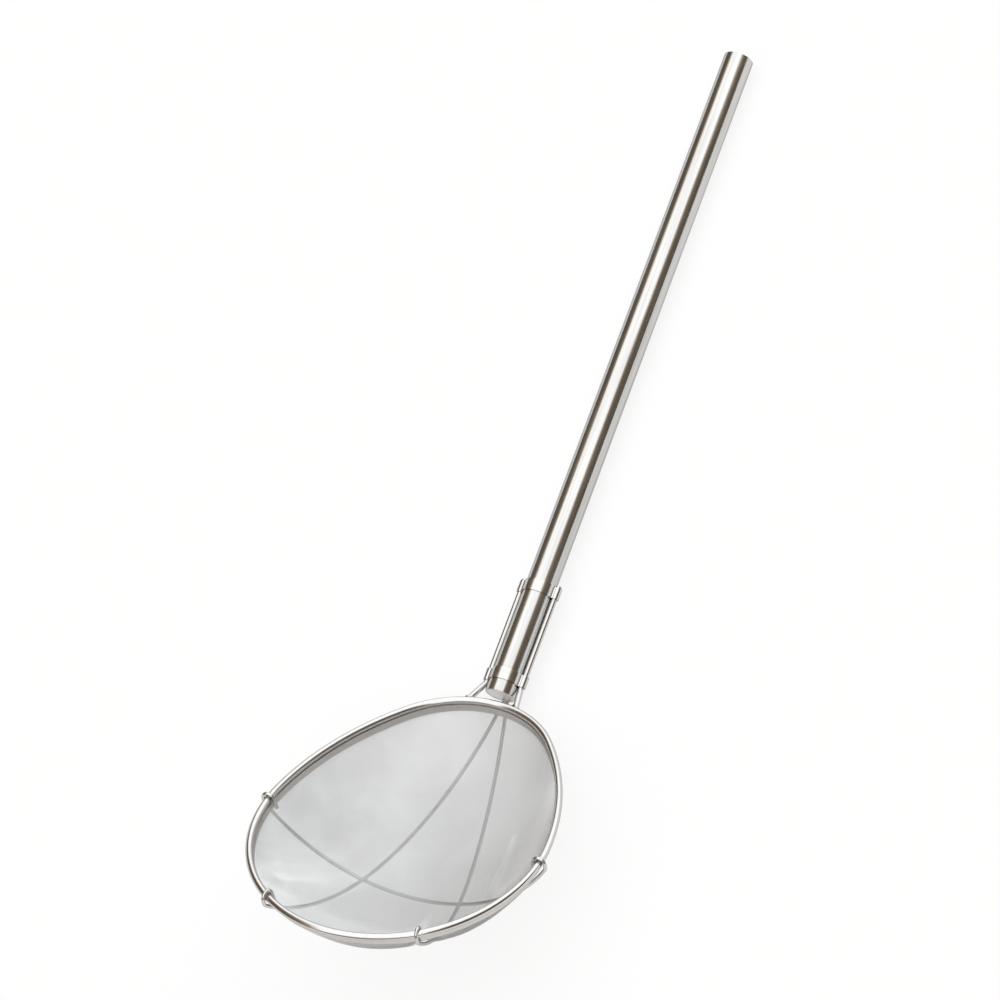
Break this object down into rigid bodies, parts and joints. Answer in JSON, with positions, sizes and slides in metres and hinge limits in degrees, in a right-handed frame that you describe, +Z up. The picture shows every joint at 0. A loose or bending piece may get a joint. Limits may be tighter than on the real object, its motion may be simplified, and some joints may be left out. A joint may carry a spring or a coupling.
{
  "type": "skimmer",
  "caption": "Long-handled skimmer: a deep egg-shaped gauze bowl in a wire rim, on hooked ribs and a banded wire fork, with a closed steel tube as handle; lifts and drains hot food.",
  "frame": {"origin": "middle of the footprint on the table, with the long ribs and the far end of the tube on Z = 0", "axes": "+Y from the bowl to the far end of the handle, +Z up from the table, +X across the bowl"},
  "size_m": [0.2528, 0.8656, 0.1599],
  "materials": {
    "tube_steel": "satin polished tube",
    "cap_steel": "satin disc, welded in and ground flush",
    "rim_steel": "polished round wire",
    "wire_steel": "polished drawn wire",
    "band_steel": "satin strip",
    "hem_steel": "satin folded strip",
    "gauze_steel": "very fine plain-woven steel gauze"
  },
  "bodies": {
    "root": {"handle_tube": "tube_steel", "lower_end_cap": "cap_steel", "top_end_cap": "cap_steel", "rim_hoop": "rim_steel", "fork_wire_right": "wire_steel", "fork_wire_left": "wire_steel", "lower_band": "band_steel", "upper_band": "band_steel", "mesh_hem": "hem_steel", "mesh_bowl": "gauze_steel", "support_rib_right": "wire_steel", "support_rib_left": "wire_steel", "cross_rib": "wire_steel"}
  },
  "joints": []
}
